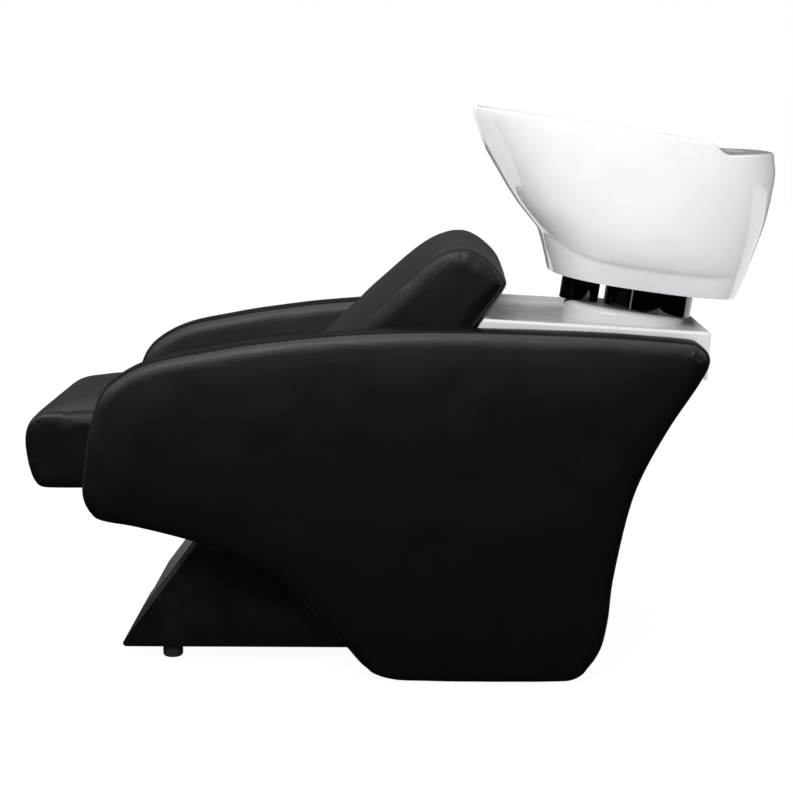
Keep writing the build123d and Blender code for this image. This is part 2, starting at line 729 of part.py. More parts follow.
bowl_outer = basin_form(bowl_shares, 0, 0)
skirt_outer = basin_form(skirt_shares, 0, 0)
bowl_inner = basin_form(hollow_shares, 0, 0)
bowl_wall = basin_form(hollow_shares, basin_wall, basin_wall)
under_room = basin_form(bowl_shares, -basin_wall, -basin_wall) + basin_form(skirt_shares, -basin_wall, 0)
upper_room = under_room & slab_between(-body_width, body_width, cavity_floor_z, basin_blank_height)
skirt_room = extrude(oval(
    -skirt_shares[0][1] * basin_front_reach + basin_wall,
    skirt_shares[0][2] * basin_rear_reach - basin_wall,
    skirt_shares[0][3] * basin_half_width - basin_wall,
    0, basin_middle_x, basin_roundness), amount=cavity_floor_z + overrun)
rear_slab = slab_between(slab_front_x, body_width, basin_slab_z, cavity_floor_z)
lower_room = skirt_room - rear_slab - slab_between(-body_width, body_width, cavity_floor_z, basin_blank_height)
ledge_place = (tilt_run * Pos(ledge_front_x, 0, ledge_front_z)).position
ledge_row_z = ledge_place.Z
above_ledge = tilt_run.inverse() * block(-body_width * 2, body_width * 2, -body_width, body_width,
                                         ledge_row_z - basin_wall, ledge_row_z + body_width)
upper_room -= above_ledge
basin = bowl_outer + skirt_outer
creases = []
for edge in basin.edges():
    span = edge.bounding_box()
    if span.min.Z > cavity_floor_z and span.max.Z < ledge_front_z:
        creases.append(edge)
basin = fillet(creases, crease_radius)
basin -= bowl_inner
basin -= upper_room - bowl_wall
basin -= lower_room - bowl_wall

# Rim: level with the leaning frame, then a step down to the tap ledge at the rear
lean = tan(radians(basin_lean_deg))
top_z = basin_blank_height + overrun
far_x = basin_rear_reach + overrun
front_cut_x = -basin_front_reach - basin_wall * 3
step_ends = ((rim_step_x, 0, rim_z), (ledge_front_x, 0, ledge_front_z))
step_curve = Spline(*step_ends, tangents=[(1, 0, 0), (1, 0, lean)])
trim_corners = [
    (ledge_front_x, 0, ledge_front_z),
    (far_x, 0, ledge_front_z + (far_x - ledge_front_x) * lean),
    (far_x, 0, top_z),
    (front_cut_x, 0, top_z),
    (front_cut_x, 0, rim_z),
    (rim_step_x, 0, rim_z),
]
basin -= side_slab([step_curve, Polyline(*trim_corners)], -body_width, body_width)
notch_z = rim_z + notch_centre_above_rim
notch_bar = Pos(front_cut_x, 0, notch_z) * (Plane.YZ * Circle(notch_radius))
basin -= extrude(notch_bar, amount=notch_depth_x, dir=(1, 0, 0))
low_edge_z = notch_z - notch_radius - overrun


def rim_edges(face):
    """The basin's edges round its top that lie on one smooth face."""
    found = []
    for edge in basin.edges():
        near = face.distance_to(Vertex(*edge.position_at(0.5))) < touching
        if near and edge.bounding_box().min.Z > low_edge_z:
            found.append(edge)
    return found


basin = fillet(rim_edges(bowl_outer.faces().sort_by(Axis.Z)[1]), rim_outer_radius)
basin = fillet(rim_edges(bowl_inner.faces().sort_by(Axis.Z)[1]), rim_inner_radius)

# Holes of the basin: waste, hoses and the tap ledge
basin -= upright_rod(waste_x, 0, waste_body_radius + side_clearance, 0, basin_blank_height / 2)
basin -= upright_rod(hose_hole_x, 0, hose_hole_radius, 0, cavity_floor_z + overrun)
carrier_bolts = None
for x in (carrier_front_x + carrier_bolt_inset, carrier_rear_x - carrier_bolt_inset):
    for y in (carrier_bolt_inset - carrier_half_width, carrier_half_width - carrier_bolt_inset):
        bolt = upright_rod(x, y, carrier_bolt_radius, carrier_z, basin_slab_z + carrier_bolt_depth)
        bolt += upright_rod(x, y, yoke_bolt_head_radius, carrier_z - yoke_bolt_head_height, carrier_z)
        carrier_bolts = bolt if carrier_bolts is None else carrier_bolts + bolt
basin -= carrier_bolts
basin = tilt_run * basin
tap_place = (tilt_run * Pos(tap_line_x, 0, ledge_front_z)).position
hole_low = ledge_row_z - 2 * basin_wall
basin -= upright_rod(tap_place.X, 0, tap_hole_radius, hole_low, ledge_row_z + overrun)
basin -= upright_rod(tap_place.X, spray_hole_y, spray_hole_radius, hole_low, ledge_row_z + overrun)

# Carrier plate with two lugs, its gasket and bushes
plate_top = carrier_z + carrier_thickness
carrier = block(carrier_front_x, carrier_rear_x, -carrier_half_width, carrier_half_width, carrier_z, plate_top)
gasket = block(carrier_front_x, carrier_rear_x, -carrier_half_width, carrier_half_width, plate_top, basin_slab_z)
hose_rod = upright_rod(hose_hole_x, 0, hose_hole_radius, 0, basin_slab_z + overrun)
lug = cross_rod(0, 0, lug_radius, -lug_outer_y, -lug_inner_y)
lug += block(-lug_radius, lug_radius, -lug_outer_y, -lug_inner_y, 0, carrier_z)
lug -= cross_rod(0, 0, bush_radius, -lug_outer_y - overrun, 0)
carrier = tilt_run * (carrier + both_sides(lug) - hose_rod - carrier_bolts)
gasket = tilt_run * (gasket - hose_rod - carrier_bolts)
carrier_bolts = tilt_run * carrier_bolts
bush = cross_rod(0, 0, bush_radius, -lug_outer_y, -lug_inner_y)
bush -= cross_rod(0, 0, pin_radius + running_clearance, -lug_outer_y - overrun, 0)
pivot_bushes = tilt_run * both_sides(bush)

# Waste fitting and its lift-out strainer
bowl_floor_z = hollow_shares[0][0] * basin_blank_height
floor_under_z = bowl_floor_z - basin_wall
flange_top = bowl_floor_z + waste_flange_height
seal_low = floor_under_z - waste_seal_thickness
nut_low = seal_low - waste_nut_height
waste_bore = upright_rod(waste_x, 0, waste_bore_radius, tail_end_z - overrun, flange_top + overrun)
waste_body = upright_rod(waste_x, 0, waste_body_radius, nut_low, bowl_floor_z)
waste_flange = waste_body + upright_rod(waste_x, 0, waste_flange_radius, bowl_floor_z, flange_top) - waste_bore
waste_seal = upright_rod(waste_x, 0, waste_nut_radius, seal_low, floor_under_z) - waste_body
waste_nut = upright_rod(waste_x, 0, waste_nut_radius, nut_low, seal_low) - waste_body
waste_tail = upright_rod(waste_x, 0, tail_radius, tail_end_z, nut_low) - waste_bore
strainer_low = flange_top + side_clearance
strainer = upright_rod(waste_x, 0, strainer_rim_radius, strainer_low, strainer_low + strainer_rim_height)
strainer += upright_rod(waste_x, 0, strainer_radius, strainer_low - strainer_depth, strainer_low)
cup_radius = strainer_radius - strainer_rim_height
strainer -= upright_rod(
    waste_x, 0, cup_radius,
    strainer_low - strainer_depth + strainer_rim_height, strainer_low + strainer_rim_height)
ring_count = 8
hole_ring = cup_radius - 2 * strainer_hole_radius
for step in range(ring_count):
    turn = 2 * pi * step / ring_count
    strainer -= upright_rod(
        waste_x + hole_ring * cos(turn), hole_ring * sin(turn), strainer_hole_radius,
        strainer_low - strainer_depth, strainer_low)
knob_low = strainer_low - strainer_depth + strainer_rim_height
strainer += upright_rod(waste_x, 0, strainer_knob_radius, knob_low, knob_low + strainer_knob_height)

# Rear closing panel, its battens and screws, and brackets that fix the unit to the floor
rear_indices = range(2, 8)
inner_inset = rear_panel_inset + rear_panel_thickness


def rear_points(inset):
    """Points of the panel's rear edge, moved inwards."""
    places = [panel_point(index, inset) for index in rear_indices]
    return [(x, 0, z) for x, z in places]


outer_run = rear_points(rear_panel_inset)
inner_run = rear_points(inner_inset)
rear_outline = [
    Spline(*outer_run), Line(outer_run[-1], inner_run[-1]),
    Spline(*reversed(inner_run)), Line(inner_run[0], outer_run[0]),
]
rear_half = inner_face_y - rear_panel_gap
rear_panel = side_slab(rear_outline, -rear_half, rear_half)
rear_battens = None
rear_screws = None
for index in (rear_indices[1], rear_indices[-2]):
    near_x, near_z = panel_point(index, inner_inset + batten_gap)
    far_x, far_z = panel_point(index, inner_inset + batten_gap + batten_size)
    side_x = (far_z - near_z) / 2
    side_z = (near_x - far_x) / 2
    corners = [
        (near_x - side_x, near_z - side_z), (far_x - side_x, far_z - side_z),
        (far_x + side_x, far_z + side_z), (near_x + side_x, near_z + side_z),
    ]
    batten = side_polygon(corners, -inner_face_y, inner_face_y)
    rear_battens = batten if rear_battens is None else rear_battens + batten
    face_x, face_z = panel_point(index, rear_panel_inset)
    lean_back = degrees(atan2(near_x - face_x, near_z - face_z))
    for y in (-rear_half + batten_size, rear_half - batten_size):
        screw = Pos(face_x, y, face_z) * Rot(0, lean_back, 0) * (
            upright_rod(0, 0, yoke_bolt_radius / 2, 0, rear_panel_thickness + batten_size / 2)
            + upright_rod(0, 0, yoke_bolt_radius, -floor_pan_thickness, 0))
        rear_screws = screw if rear_screws is None else rear_screws + screw
rear_panel -= rear_screws
rear_battens -= rear_screws
bracket_far_y = inner_face_y - floor_bracket_leg
bracket_rear_x = floor_bracket_x + floor_bracket_length / 2
bracket_front_x = floor_bracket_x - floor_bracket_length / 2
floor_bracket = block(bracket_front_x, bracket_rear_x, -inner_face_y, -bracket_far_y, 0, floor_bracket_wall)
floor_bracket += block(
    bracket_front_x, bracket_rear_x, -inner_face_y, floor_bracket_wall - inner_face_y, 0, floor_bracket_length)
floor_hole_y = (inner_face_y + bracket_far_y - floor_bracket_wall) / 2
floor_bracket -= upright_rod(
    floor_bracket_x, -floor_hole_y, floor_bolt_radius, -overrun, floor_bracket_wall + overrun)

# The finished sub-parts
save("left_frame", left_frame)
save("right_frame", mirror(left_frame, about=Plane.XZ))
save("cross_ties", cross_ties)
save("side_brackets", both_sides(bracket_group))
save("panel_bolts", both_sides(bolt_group))
save("plinth_left_board", side_board)
save("plinth_right_board", mirror(side_board, about=Plane.XZ))
save("plinth_front_board", front_board)
save("kick_plate", kick_plate)
save("floor_pan", floor_pan)
save("foot_nuts", both_sides(foot_nut))
save("left_foot_pad", foot_pad)
save("left_foot_stem", foot_stem)
save("right_foot_pad", mirror(foot_pad, about=Plane.XZ))
save("right_foot_stem", mirror(foot_stem, about=Plane.XZ))
for side, turn in (("left", lambda shape: shape), ("right", lambda shape: mirror(shape, about=Plane.XZ))):
    save(side + "_panel_core", turn(core))
    save(side + "_outer_pad", turn(outer_pad))
    save(side + "_inner_pad", turn(inner_pad))
    save(side + "_gusset", turn(gusset))
save("panel_glides", panel_glides)
save("seat_board", seat_board)
save("seat_cushion", seat_cushion)
save("back_board", back_board)
save("back_cushion", back_cushion)
save("deck", deck)
save("deck_support", deck_support)
save("boss", boss)
save("front_sleeve", front_sleeve)
save("rear_sleeve", rear_sleeve)
save("yoke", yoke)
save("yoke_bolts", yoke_bolts)
save("pivot_bolts", both_sides(pivot_bolt))
save("pivot_nuts", both_sides(pivot_nut))
save("friction_washers", both_sides(friction_washer))
save("stop_studs", stop_studs)
save("stop_caps", stop_caps)
save("basin", basin)
save("basin_gasket", gasket)
save("carrier", carrier)
save("carrier_bolts", carrier_bolts)
save("pivot_bushes", pivot_bushes)
save("waste_flange", tilt_run * waste_flange)
save("waste_seal", tilt_run * waste_seal)
save("waste_nut", tilt_run * waste_nut)
save("waste_tail", tilt_run * waste_tail)
save("strainer", tilt_run * strainer)
save("rear_panel", rear_panel)
save("rear_battens", rear_battens)
save("rear_screws", rear_screws)
save("floor_brackets", both_sides(floor_bracket))
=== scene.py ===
import json
from math import exp, hypot, radians

import bmesh
import bpy
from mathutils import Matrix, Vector, geometry, noise


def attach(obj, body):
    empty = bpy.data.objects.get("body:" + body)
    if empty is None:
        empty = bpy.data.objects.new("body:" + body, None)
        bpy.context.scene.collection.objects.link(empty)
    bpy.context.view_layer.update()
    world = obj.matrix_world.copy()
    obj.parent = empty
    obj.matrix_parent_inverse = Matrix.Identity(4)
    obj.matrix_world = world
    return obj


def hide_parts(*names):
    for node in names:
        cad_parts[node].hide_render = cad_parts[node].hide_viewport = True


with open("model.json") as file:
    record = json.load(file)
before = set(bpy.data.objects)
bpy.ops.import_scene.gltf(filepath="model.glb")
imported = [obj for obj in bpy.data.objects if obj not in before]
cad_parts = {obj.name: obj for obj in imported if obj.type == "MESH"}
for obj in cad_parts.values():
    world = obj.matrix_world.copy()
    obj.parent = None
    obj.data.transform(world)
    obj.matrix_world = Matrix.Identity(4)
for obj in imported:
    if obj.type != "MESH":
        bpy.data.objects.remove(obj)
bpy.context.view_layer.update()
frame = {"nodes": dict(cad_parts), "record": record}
scene = bpy.context.scene
nodes = frame["nodes"]


# Camera at the photograph's place

def place_camera():
    data = bpy.data.cameras.new("photograph")
    data.lens = 89.887
    data.sensor_width = 36.0
    data.clip_end = 60.0
    camera = bpy.data.objects.new("photograph", data)
    scene.collection.objects.link(camera)
    camera.location = (0.04307, -3.62, 1.01368)
    camera.rotation_euler = (radians(90 - 8.7994), 0, radians(0.9579))
    scene.camera = camera


# Shader groups and small helpers for materials

def new_node(tree, kind, at, **values):
    """A node at a place in the editor, with some of its inputs or settings set."""
    node = tree.nodes.new(kind)
    node.location = at
    for key, value in values.items():
        if hasattr(node, key):
            setattr(node, key, value)
        else:
            node.inputs[key.replace("_", " ")].default_value = value
    return node


def group_tree(name, inputs, outputs):
    """An empty shader group with named float, colour or vector sockets."""
    tree = bpy.data.node_groups.new(name, "ShaderNodeTree")
    for label, kind, value in inputs:
        socket = tree.interface.new_socket(label, in_out="INPUT", socket_type=kind)
        if value is not None:
            socket.default_value = value
    for label, kind in outputs:
        tree.interface.new_socket(label, in_out="OUTPUT", socket_type=kind)
    start = tree.nodes.new("NodeGroupInput")
    start.location = (-900, 0)
    end = tree.nodes.new("NodeGroupOutput")
    end.location = (900, 0)
    return tree, start, end


def maths(tree, operation, at, first, second=None, third=None):
    """A Math node; each operand is a number or a socket."""
    node = tree.nodes.new("ShaderNodeMath")
    node.operation = operation
    node.location = at
    for index, operand in enumerate((first, second, third)):
        if operand is None:
            continue
        if isinstance(operand, (int, float)):
            node.inputs[index].default_value = operand
        else:
            tree.links.new(operand, node.inputs[index])
    return node.outputs[0]


def ramp(tree, at, value, low, high, from_low, from_high):
    """A smooth step of a value from one range to another."""
    node = new_node(tree, "ShaderNodeMapRange", at, interpolation_type="SMOOTHSTEP")
    tree.links.new(value, node.inputs["Value"])
    node.inputs["From Min"].default_value = from_low
    node.inputs["From Max"].default_value = from_high
    node.inputs["To Min"].default_value = low
    node.inputs["To Max"].default_value = high
    return node.outputs["Result"]


# The part of a noise's range over which one tone of a finish turns into the other
mottle_band = (0.35, 0.68)
stitches_per_metre = 220.0


def make_leather_grain():
    """Fine pebble grain, a broad mottle and the soft unevenness of foam under a skin."""
    floats = [("Vector", "NodeSocketVector", None), ("Grain Scale", "NodeSocketFloat", 900.0)]
    outs = [("Height", "NodeSocketFloat"), ("Mottle", "NodeSocketFloat"), ("Swell", "NodeSocketFloat")]
    tree, start, end = group_tree("leather_grain", floats, outs)
    cells = new_node(tree, "ShaderNodeTexVoronoi", (-600, 200), feature="DISTANCE_TO_EDGE")
    creases = new_node(tree, "ShaderNodeTexNoise", (-600, -50), Scale=260.0, Detail=3.0)
    patches = new_node(tree, "ShaderNodeTexNoise", (-600, -300), Scale=14.0, Detail=2.0)
    swells = new_node(tree, "ShaderNodeTexNoise", (-600, -550), Scale=9.0, Detail=1.0)
    for texture in (cells, creases, patches, swells):
        tree.links.new(start.outputs["Vector"], texture.inputs["Vector"])
    tree.links.new(start.outputs["Grain Scale"], cells.inputs["Scale"])
    pebble = ramp(tree, (-300, 200), cells.outputs["Distance"], 0, 1, 0, 0.3)
    rough = maths(tree, "MULTIPLY", (-300, -50), creases.outputs["Fac"], 0.5)
    tree.links.new(maths(tree, "ADD", (0, 100), pebble, rough), end.inputs["Height"])
    mottle = ramp(tree, (-300, -300), patches.outputs["Fac"], 0, 1, *mottle_band)
    tree.links.new(mottle, end.inputs["Mottle"])
    tree.links.new(swells.outputs["Fac"], end.inputs["Swell"])
    return tree


def make_twin_stitch():
    """A sewn seam: a narrow valley, a row of stitches on each side of it, and puckers beside it.

    Shade is 0 in the valley and near 0 in the two dents, and 1 on the plain skin.
    """
    floats = [
        ("Across", "NodeSocketFloat", 0.0), ("Along", "NodeSocketFloat", 0.0),
        ("Vector", "NodeSocketVector", None), ("Stitch Offset", "NodeSocketFloat", 0.005),
    ]
    outs = [
        ("Height", "NodeSocketFloat"), ("Thread And Highlight", "NodeSocketFloat"),
        ("Pucker", "NodeSocketFloat"), ("Shade", "NodeSocketFloat"),
    ]
    tree, start, end = group_tree("twin_stitch", floats, outs)
    reach = maths(tree, "ABSOLUTE", (-650, 200), start.outputs["Across"])
    valley = ramp(tree, (-400, 300), reach, 0, 1, 0.0002, 0.0016)
    off_line = maths(tree, "SUBTRACT", (-650, 0), reach, start.outputs["Stitch Offset"])
    line_gap = maths(tree, "ABSOLUTE", (-450, 0), off_line)
    dent = ramp(tree, (-200, 0), line_gap, 0, 1, 0.0002, 0.0013)
    thread_line = ramp(tree, (-200, -200), line_gap, 1, 0, 0.0003, 0.0007)
    count = maths(tree, "MULTIPLY", (-650, -400), start.outputs["Along"], stitches_per_metre)
    beat = maths(tree, "FRACT", (-450, -400), count)
    centred = maths(tree, "ABSOLUTE", (-250, -400), maths(tree, "SUBTRACT", (-350, -400), beat, 0.5))
    dash = ramp(tree, (-100, -400), centred, 1, 0, 0.34, 0.42)
    # Where the stitches lie; the leatherette paints them light grey, partly as painted highlight.
    thread = maths(tree, "MULTIPLY", (100, -300), thread_line, dash)
    tree.links.new(thread, end.inputs["Thread And Highlight"])
    in_valley = ramp(tree, (-200, 500), reach, 0, 1, 0.0018, 0.0036)
    in_dent = ramp(tree, (-200, 350), line_gap, 0.1, 1, 0.0009, 0.0019)
    tree.links.new(maths(tree, "MULTIPLY", (100, 450), in_valley, in_dent), end.inputs["Shade"])
    folds = new_node(tree, "ShaderNodeTexNoise", (-650, -650), Scale=46.0, Detail=2.0)
    tree.links.new(start.outputs["Vector"], folds.inputs["Vector"])
    near = ramp(tree, (-400, -650), reach, 1, 0, 0.002, 0.045)
    puckers = maths(tree, "MULTIPLY", (-100, -650), folds.outputs["Fac"], near)
    tree.links.new(puckers, end.inputs["Pucker"])
    sunk = maths(tree, "MULTIPLY", (200, 200), valley, dent)
    raised = maths(tree, "MULTIPLY", (300, -100), thread, 0.6)
    tree.links.new(maths(tree, "ADD", (500, 100), sunk, raised), end.inputs["Height"])
    return tree


def make_fine_texture():
    """Even speckle for moulded plastic, powder coat and rubber."""
    floats = [("Vector", "NodeSocketVector", None), ("Scale", "NodeSocketFloat", 700.0)]
    outs = [("Height", "NodeSocketFloat"), ("Mottle", "NodeSocketFloat")]
    tree, start, end = group_tree("fine_texture", floats, outs)
    speckle = new_node(tree, "ShaderNodeTexNoise", (-600, 100), Detail=2.0)
    clouds = new_node(tree, "ShaderNodeTexNoise", (-600, -200), Scale=18.0, Detail=2.0)
    for texture in (speckle, clouds):
        tree.links.new(start.outputs["Vector"], texture.inputs["Vector"])
    tree.links.new(start.outputs["Scale"], speckle.inputs["Scale"])
    tree.links.new(speckle.outputs["Fac"], end.inputs["Height"])
    mottle = ramp(tree, (-300, -200), clouds.outputs["Fac"], 0, 1, *mottle_band)
    tree.links.new(mottle, end.inputs["Mottle"])
    return tree


leather_grain = make_leather_grain()
twin_stitch = make_twin_stitch()
fine_texture = make_fine_texture()


def start_material(name):
    material = bpy.data.materials.new(name)
    material.use_nodes = True
    tree = material.node_tree
    shader = tree.nodes["Principled BSDF"]
    place = new_node(tree, "ShaderNodeTexCoord", (-1300, 0))
    return material, tree, shader, place.outputs["Object"]


def place_group(tree, group, at, vector):
    node = tree.nodes.new("ShaderNodeGroup")
    node.node_tree = group
    node.location = at
    tree.links.new(vector, node.inputs["Vector"])
    return node


def two_tone(tree, at, mask, first, second):
    """A colour between two, by a mask."""
    mix = new_node(tree, "ShaderNodeMix", at, data_type="RGBA")
    mix.inputs[6].default_value = (*first, 1)
    mix.inputs[7].default_value = (*second, 1)
    tree.links.new(mask, mix.inputs[0])
    return mix.outputs[2]


def bump(tree, at, height, distance, strength, normal=None):
    node = new_node(tree, "ShaderNodeBump", at, Distance=distance, Strength=strength)
    tree.links.new(height, node.inputs["Height"])
    if normal is not None:
        tree.links.new(normal, node.inputs["Normal"])
    return node.outputs["Normal"]


leather_black = (0.0015, 0.0015, 0.0016)
leather_worn = (0.0026, 0.0026, 0.0028)
# The stitches' grey is lighter than the thread's own colour: partly thread colour, partly painted highlight
# on the seam ridges.
thread_and_highlight_grey = (0.05, 0.05, 0.052)
seam_dullness = 0.6


def make_leatherette(name, gloss):
    """Black satin leatherette with fine grain and twin-stitched seams that are duller than the skin; the
    stitches' light grey is partly thread colour, partly painted highlight on the seam ridges.
    """
    material, tree, shader, vector = start_material(name)
    grain = place_group(tree, leather_grain, (-1000, 200), vector)
    stitch = place_group(tree, twin_stitch, (-1000, -200), vector)
    seam = new_node(tree, "ShaderNodeAttribute", (-1300, -300), attribute_name="seam")
    parts = new_node(tree, "ShaderNodeSeparateXYZ", (-1150, -300))
    tree.links.new(seam.outputs["Vector"], parts.inputs[0])
    tree.links.new(parts.outputs["X"], stitch.inputs["Across"])
    tree.links.new(parts.outputs["Y"], stitch.inputs["Along"])
    skin = two_tone(tree, (-700, 300), grain.outputs["Mottle"], leather_black, leather_worn)
    mix = new_node(tree, "ShaderNodeMix", (-450, 250), data_type="RGBA")
    tree.links.new(stitch.outputs["Thread And Highlight"], mix.inputs[0])
    tree.links.new(skin, mix.inputs[6])
    mix.inputs[7].default_value = (*thread_and_highlight_grey, 1)
    tree.links.new(mix.outputs[2], shader.inputs["Base Color"])
    smooth = ramp(tree, (-650, 0), grain.outputs["Mottle"], 0.33, 0.288, 0, 1)
    in_seam = maths(tree, "SUBTRACT", (-650, -150), 1.0, stitch.outputs["Shade"])
    roughness = maths(tree, "MULTIPLY_ADD", (-450, 0), in_seam, seam_dullness, smooth)
    tree.links.new(roughness, shader.inputs["Roughness"])
    soft = bump(tree, (-700, -500), grain.outputs["Swell"], 0.012, 0.18)
    puckered = bump(tree, (-500, -450), stitch.outputs["Pucker"], 0.004, 0.3, soft)
    sewn = bump(tree, (-300, -400), stitch.outputs["Height"], 0.0014, 1.0, puckered)
    grained = bump(tree, (-100, -350), grain.outputs["Height"], 0.00012, 0.7, sewn)
    tree.links.new(grained, shader.inputs["Normal"])
    shader.inputs["Specular IOR Level"].default_value = gloss
    return material


def make_plain(
    name, colour, second, roughness, spread,
    metallic=0.0, speckle=700.0, depth=0.00005, specular=0.5,
):
    """A solid finish with a slight two-tone mottle, uneven gloss and a fine texture."""
    material, tree, shader, vector = start_material(name)
    texture = place_group(tree, fine_texture, (-1000, 0), vector)
    texture.inputs["Scale"].default_value = speckle
    tones = two_tone(tree, (-600, 200), texture.outputs["Mottle"], colour, second)
    tree.links.new(tones, shader.inputs["Base Color"])
    gloss = ramp(tree, (-600, 0), texture.outputs["Mottle"], roughness, roughness + spread, 0, 1)
    tree.links.new(gloss, shader.inputs["Roughness"])
    relief = bump(tree, (-400, -300), texture.outputs["Height"], depth, 0.6)
    tree.links.new(relief, shader.inputs["Normal"])
    shader.inputs["Metallic"].default_value = metallic
    shader.inputs["Specular IOR Level"].default_value = specular
    return material


def make_ply():
    """Birch ply: long pale grain with darker lines."""
    material, tree, shader, vector = start_material("raw_ply")
    stretch = new_node(tree, "ShaderNodeMapping", (-1100, 0))
    stretch.inputs["Scale"].default_value = (6.0, 90.0, 90.0)
    tree.links.new(vector, stretch.inputs["Vector"])
    fibre = new_node(tree, "ShaderNodeTexNoise", (-850, 0), Scale=1.5, Detail=4.0)
    tree.links.new(stretch.outputs["Vector"], fibre.inputs["Vector"])
    colour = two_tone(tree, (-550, 100), fibre.outputs["Fac"], (0.42, 0.29, 0.17), (0.62, 0.48, 0.32))
    tree.links.new(colour, shader.inputs["Base Color"])
    tree.links.new(bump(tree, (-400, -300), fibre.outputs["Fac"], 0.0002, 0.5), shader.inputs["Normal"])
    shader.inputs["Roughness"].default_value = 0.62
    return material


leatherette = make_leatherette("black_leatherette", 0.55)
# The band's copy of the same leatherette reflects far less: painted shade on the gusset's upper band.
shaded_band_leatherette = make_leatherette("black_leatherette_band_painted_shade", 0.08)
ply = make_ply()
black_paint = make_plain(
    "black_board_paint", (0.003, 0.003, 0.0032), (0.0045, 0.0045, 0.0048), 0.4, 0.08, specular=0.15)
kick_black = make_plain(
    "kick_plate_black", (0.022, 0.022, 0.0225), (0.028, 0.028, 0.0285), 0.45, 0.08, specular=0.35)
powder_coat = make_plain(
    "black_powder_coat", (0.012, 0.012, 0.012), (0.018, 0.018, 0.018), 0.45, 0.1, speckle=1400.0)
zinc = make_plain(
    "zinc_plate", (0.52, 0.53, 0.55), (0.62, 0.62, 0.63), 0.28, 0.14,
    metallic=1.0, speckle=300.0, depth=0.00002)
# Chrome with its colour made dark: painted dark reflection of the studio around it.
chrome = make_plain(
    "chrome_painted_dark", (0.13, 0.13, 0.138), (0.155, 0.155, 0.163), 0.05, 0.03,
    metallic=1.0, speckle=90.0, depth=0.00001)
white_shell = make_plain(
    "white_gloss_shell", (0.80, 0.81, 0.82), (0.83, 0.84, 0.85), 0.16, 0.05, speckle=60.0, depth=0.00004)
glaze = make_plain(
    "white_glaze", (0.84, 0.85, 0.865), (0.865, 0.875, 0.885), 0.07, 0.03, speckle=26.0, depth=0.00012)
soft_rubber = make_plain(
    "black_rubber", (0.014, 0.014, 0.014), (0.02, 0.02, 0.02), 0.6, 0.15, speckle=900.0, depth=0.0001)
nylon = make_plain("dark_nylon", (0.05, 0.05, 0.05), (0.065, 0.065, 0.065), 0.42, 0.1)
moulded_black = make_plain(
    "moulded_black_panel", (0.010, 0.010, 0.011), (0.016, 0.016, 0.017), 0.5, 0.1,
    speckle=1100.0, depth=0.0001)

finishes = {
    "board": ply,
    "plinth": black_paint,
    "frame_paint": powder_coat,
    "steel": zinc,
    "kick": kick_black,
    "white_shell": white_shell,
    "chrome": chrome,
    "glaze": glaze,
    "rubber": soft_rubber,
    "nylon": nylon,
    "panel_black": moulded_black,
    "upholstery": leatherette,
}


def dress_nodes():
    """Gives every carried-over node the finish of its slot."""
    slots = {part["node"]: part["material_slot"] for part in frame["record"]["subparts"]}
    for name, node in nodes.items():
        finish = finishes[slots[name]]
        if not node.data.materials:
            node.data.materials.append(finish)
        for slot in node.material_slots:
            slot.material = finish


# Upholstery

def smooth_outline(corners, steps):
    """A closed smooth line (x, z) through the given points."""
    count = len(corners)
    line = []
    for index in range(count):
        before, start, end, after = (corners[(index + shift) % count] for shift in (-1, 0, 1, 2))
        for step in range(steps):
            t = step / steps
            point = []
            for a, b, c, d in zip(before, start, end, after):
                point.append(0.5 * (
                    2 * b + (c - a) * t + (2 * a - 5 * b + 4 * c - d) * t * t
                    + (3 * b - a - 3 * c + d) * t ** 3))
            line.append(tuple(point))
    return line


def outward_turns(line):
    """At each point of a closed line: its outward direction, the path so far and the local radius."""
    count = len(line)
    area = sum(a[0] * b[1] - b[0] * a[1] for a, b in zip(line, line[1:] + line[:1]))
    sign = 1 if area > 0 else -1
    turns = []
    path = 0.0
    for index in range(count):
        before, here, after = line[index - 2], line[index], line[(index + 2) % count]
        run = Vector((after[0] - before[0], after[1] - before[1])).normalized()
        first = Vector((here[0] - before[0], here[1] - before[1]))
        second = Vector((after[0] - here[0], after[1] - here[1]))
        bend = sign * first.angle_signed(second, 0.0) * -1
        radius = (first.length + second.length) / 2 / bend if bend > 0.001 else 10.0
        turns.append((run.y * sign, -run.x * sign, path, radius))
        path += hypot(line[(index + 1) % count][0] - here[0], line[(index + 1) % count][1] - here[1])
    return turns


# The row number of a cheek's own points, beyond those of any band
cheek_row = 40
# How far in from its rim a cheek goes on rising
cheek_rise = 0.035
# An even triangle's height, as a share of its side
triangle_height = 0.866


def fill_cheek(bm, rim, step, lift, reach):
    """Closes a pad's side with even triangles that rise gently from its rim."""
    row_layer = bm.verts.layers.int["row"]
    seam_layer = bm.verts.layers.float_vector["seam"]
    flat = [Vector((vert.co.x, vert.co.z)) for vert in rim]
    low_x, high_x = min(point.x for point in flat), max(point.x for point in flat)
    low_z, high_z = min(point.y for point in flat), max(point.y for point in flat)
    ring = [(index, (index + 1) % len(flat)) for index in range(len(flat))]
    inside = []
    for row in range(int((high_z - low_z) / (step * triangle_height)) + 1):
        for column in range(int((high_x - low_x) / step) + 1):
            point = Vector((low_x + (column + 0.5 * (row % 2)) * step, low_z + row * step * triangle_height))
            if min((point - other).length for other in flat) > step * 0.6:
                inside.append(point)
    found = geometry.delaunay_2d_cdt(flat + inside, ring, [], 1, 0.00001)
    base_y = rim[0].co.y
    made = []
    for place, origins in zip(found[0], found[3]):
        if origins and origins[0] < len(rim):
            made.append(rim[origins[0]])
            continue
        inset = min((place - other).length for other in flat)
        vert = bm.verts.new((place.x, base_y + lift * (1 - exp(-inset / cheek_rise)), place.y))
        vert[row_layer] = cheek_row
        vert[seam_layer] = (reach + inset, 0, 0)
        made.append(vert)
    for corners in found[2]:
        bm.faces.new([made[corner] for corner in corners])
    bmesh.ops.delete(bm, geom=[vert for vert in made if not vert.link_faces], context="VERTS")


